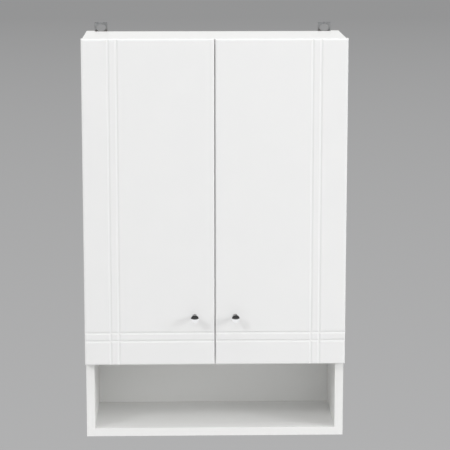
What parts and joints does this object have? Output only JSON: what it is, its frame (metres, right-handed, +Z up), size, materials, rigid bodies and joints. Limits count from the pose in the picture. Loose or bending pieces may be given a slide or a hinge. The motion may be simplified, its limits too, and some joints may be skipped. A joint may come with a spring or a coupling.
{
  "type": "hanging wall cabinet",
  "caption": "White hanging wall cabinet with a pair of grooved doors on chrome knobs above an open shelf, hung by two brackets at its rear top corners.",
  "frame": {"origin": "on the wall plane, midway between the centres of the two hanger windows", "axes": "+X to the right seen from the front, +Y into the wall, +Z up"},
  "size_m": [0.5024, 0.241, 0.792],
  "materials": {
    "carcass_board": "white melamine faced chipboard, satin",
    "door_foil": "white foil wrapped fibreboard, satin",
    "back_board": "white lacquered hardboard, matt",
    "knob_chrome": "polished chrome plating",
    "hinge_steel": "nickel plated pressed steel",
    "zinc_plate": "galvanised sheet steel, dull",
    "screw_steel": "bright zinc plated steel",
    "pin_steel": "nickel plated steel",
    "cap_plastic": "white plastic, satin",
    "bumper": "soft translucent polymer"
  },
  "bodies": {
    "cabinet": {"back_panel": "back_board", "back_panel_nails": "screw_steel", "bottom_panel": "carcass_board", "carcass_screws": "screw_steel", "hanger_bracket_left": "zinc_plate", "hanger_bracket_right": "zinc_plate", "hanger_screws": "screw_steel", "hinge_arm_left_lower": "hinge_steel", "hinge_arm_left_upper": "hinge_steel", "hinge_arm_right_lower": "hinge_steel", "hinge_arm_right_upper": "hinge_steel", "hinge_arm_screws": "screw_steel", "hinge_plate_left_lower": "hinge_steel", "hinge_plate_left_upper": "hinge_steel", "hinge_plate_right_lower": "hinge_steel", "hinge_plate_right_upper": "hinge_steel", "hinge_plate_screws": "screw_steel", "middle_panel": "carcass_board", "screw_cover_caps": "cap_plastic", "shelf_lower": "carcass_board", "shelf_pins": "pin_steel", "shelf_upper": "carcass_board", "side_panel_left": "carcass_board", "side_panel_right": "carcass_board", "top_panel": "carcass_board"},
    "door_left_body": {"door_bumpers_left": "bumper", "door_left": "door_foil", "hinge_cup_left_lower": "hinge_steel", "hinge_cup_left_upper": "hinge_steel", "hinge_cup_screws_left": "screw_steel", "hinge_pin_left_lower": "hinge_steel", "hinge_pin_left_upper": "hinge_steel", "knob_left": "knob_chrome", "knob_screw_left": "screw_steel"},
    "door_right_body": {"door_bumpers_right": "bumper", "door_right": "door_foil", "hinge_cup_right_lower": "hinge_steel", "hinge_cup_right_upper": "hinge_steel", "hinge_cup_screws_right": "screw_steel", "hinge_pin_right_lower": "hinge_steel", "hinge_pin_right_upper": "hinge_steel", "knob_right": "knob_chrome", "knob_screw_right": "screw_steel"}
  },
  "joints": [
    {"name": "door_left_swing", "type": "hinge", "parent": "cabinet", "child": "door_left_body", "pos_m": [-0.24375, -0.211, -0.3185], "axis": [0, 0, -1], "range_deg": [0, 95]},
    {"name": "door_right_swing", "type": "hinge", "parent": "cabinet", "child": "door_right_body", "pos_m": [0.24375, -0.211, -0.3185], "axis": [0, 0, 1], "range_deg": [0, 95]}
  ]
}
